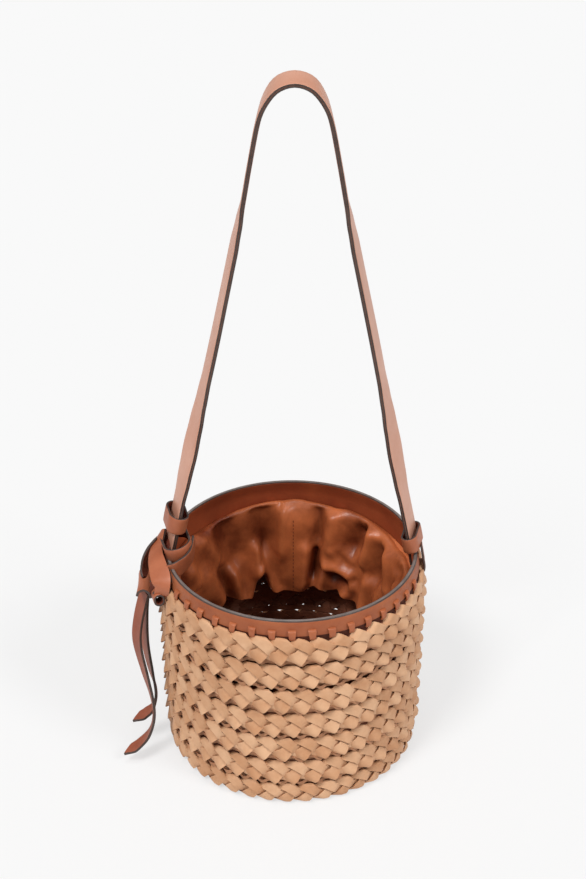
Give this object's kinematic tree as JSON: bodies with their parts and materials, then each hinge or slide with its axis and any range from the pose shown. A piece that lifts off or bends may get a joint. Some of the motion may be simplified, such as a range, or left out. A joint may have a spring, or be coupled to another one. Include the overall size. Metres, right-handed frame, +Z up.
{
  "type": "bucket bag",
  "caption": "Round bucket bag of plaited leather bands with a faced rim, a soft leather collar inside and a flat shoulder strap knotted to the rim on one side",
  "frame": {"origin": "on the floor under the middle of the woven base", "axes": "+Z up; the strap's two ends lie on the X axis with the tie at -X; the front of the bag, as seen in the picture, is at -Y"},
  "size_m": [0.2406, 0.21, 0.5506],
  "materials": {
    "plait_leather": "matte natural tan",
    "lace_leather": "matte natural tan",
    "rim_leather": "smooth orange-brown",
    "rim_core": "painted dark edge",
    "lining_leather": "soft, slightly glossy red-brown",
    "strap_leather": "smooth pinkish tan",
    "strap_lining_leather": "smooth brown, painted edges",
    "tie_leather": "smooth tan, dark painted edges"
  },
  "bodies": {
    "bag": {"plait_band_1": "plait_leather", "plait_band_2": "plait_leather", "plait_band_3": "plait_leather", "plait_band_4": "plait_leather", "plait_band_5": "plait_leather", "plait_band_6": "plait_leather", "plait_band_7": "plait_leather", "seam_lace_1": "lace_leather", "seam_lace_2": "lace_leather", "seam_lace_3": "lace_leather", "seam_lace_4": "lace_leather", "seam_lace_5": "lace_leather", "seam_lace_6": "lace_leather", "base_ring_1": "plait_leather", "base_ring_2": "plait_leather", "base_ring_3": "plait_leather", "base_centre": "plait_leather", "base_lace_1": "lace_leather", "base_lace_2": "lace_leather", "base_lace_3": "lace_leather", "base_edge_lace": "lace_leather", "rim_outer_facing": "rim_leather", "rim_core": "rim_core", "rim_inner_facing": "lining_leather", "rim_lacing": "rim_leather", "liner_collar": "lining_leather", "strap_end_left": "strap_leather", "strap_end_right": "strap_leather", "strap_loop": "tie_leather", "tie_knot": "tie_leather"},
    "strap": {"strap_face": "strap_leather", "strap_lining": "strap_lining_leather"},
    "keeper": {"strap_keeper": "tie_leather"},
    "front_tail": {"tie_tail_front": "tie_leather"},
    "rear_tail": {"tie_tail_rear": "tie_leather"}
  },
  "joints": [
    {"name": "strap_swing", "type": "hinge", "parent": "bag", "child": "strap", "pos_m": [0, 0, 0.2184], "axis": [1, 0, 0], "range_deg": [-100, 100]},
    {"name": "keeper_slide", "type": "slide", "parent": "bag", "child": "keeper", "axis": [0.2011, 0, 0.9796], "range_m": [-0.003, 0]},
    {"name": "front_tail_swing", "type": "hinge", "parent": "bag", "child": "front_tail", "pos_m": [-0.1135, -0.02, 0.1481], "axis": [0, 1, 0], "range_deg": [0, 60]},
    {"name": "rear_tail_swing", "type": "hinge", "parent": "bag", "child": "rear_tail", "pos_m": [-0.1135, -0.008, 0.1481], "axis": [0, 1, 0], "range_deg": [0, 60]}
  ]
}
